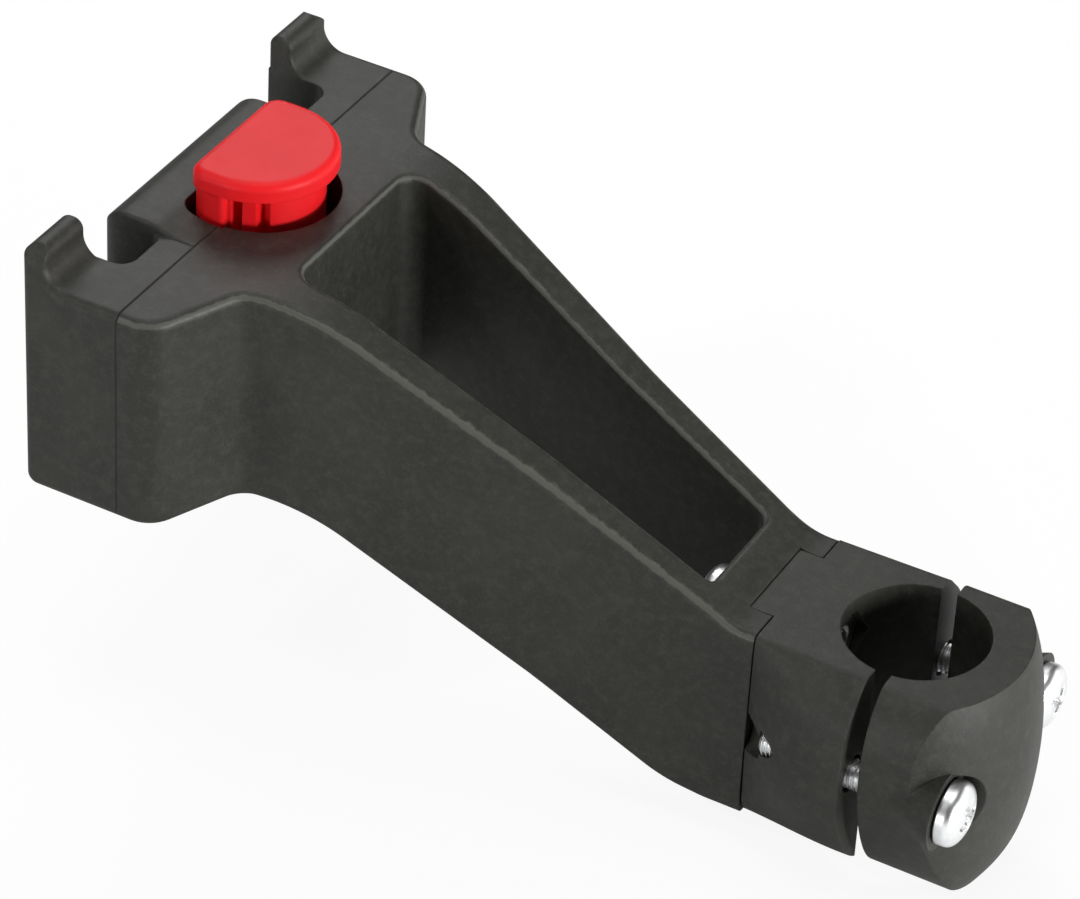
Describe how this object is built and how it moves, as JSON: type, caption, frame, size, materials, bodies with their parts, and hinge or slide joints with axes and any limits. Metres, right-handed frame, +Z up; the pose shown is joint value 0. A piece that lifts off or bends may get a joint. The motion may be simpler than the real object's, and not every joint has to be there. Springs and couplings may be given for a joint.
{
  "type": "bicycle handlebar bag mount",
  "caption": "Forked bag mount that clamps an upright round stem tube and carries a bag on a hooked locking plate with a sprung release button.",
  "frame": {"origin": "on the clamp bore's axis, in the clamp's top plane", "axes": "+Z up along the bore's axis, +X from the locking plate towards the clamp's loose cap, +Y to the far side"},
  "size_m": [0.163, 0.0856, 0.0897],
  "materials": {
    "black_plastic": "fine matte texture",
    "red_plastic": "satin",
    "zinc_steel": "bright zinc plating",
    "spring_steel": "drawn wire",
    "insert_steel": "dark turned steel"
  },
  "bodies": {
    "mount_body": {"arm_body": "black_plastic", "front_plate": "black_plastic", "button_spring": "spring_steel", "clamp_block": "black_plastic", "arm_bolt": "zinc_steel", "arm_bolt_washer": "zinc_steel", "arm_bolt_nut": "zinc_steel", "clamp_insert_near": "insert_steel", "clamp_insert_far": "insert_steel", "plate_screw_1": "zinc_steel", "plate_screw_2": "zinc_steel", "plate_screw_3": "zinc_steel", "plate_screw_4": "zinc_steel"},
    "button": {"release_button": "red_plastic"},
    "cap": {"clamp_cap": "black_plastic"},
    "screw_near": {"clamp_screw_near": "zinc_steel"},
    "screw_far": {"clamp_screw_far": "zinc_steel"}
  },
  "joints": [
    {"name": "button_press", "type": "slide", "parent": "mount_body", "child": "button", "axis": [0, 0, -1], "range_m": [0, 0.005], "stiffness_N_per_m": 800, "springref_m": -0.004, "deforming": ["button_spring"]},
    {"name": "cap_open", "type": "slide", "parent": "mount_body", "child": "cap", "axis": [1, 0, 0], "range_m": [0, 0.003]},
    {"name": "screw_near_turn", "type": "hinge", "parent": "cap", "child": "screw_near", "pos_m": [0.0149, -0.0169, -0.0176], "axis": [1, 0, 0], "range_deg": [0, 1350.1]},
    {"name": "screw_far_turn", "type": "hinge", "parent": "cap", "child": "screw_far", "pos_m": [0.0149, 0.0169, -0.0176], "axis": [1, 0, 0], "range_deg": [0, 1350.1]}
  ],
  "couplings": [
    {"joint": "screw_near_turn", "follows": "cap_open", "rad_per_m": 7854},
    {"joint": "screw_far_turn", "follows": "cap_open", "rad_per_m": 7854}
  ]
}
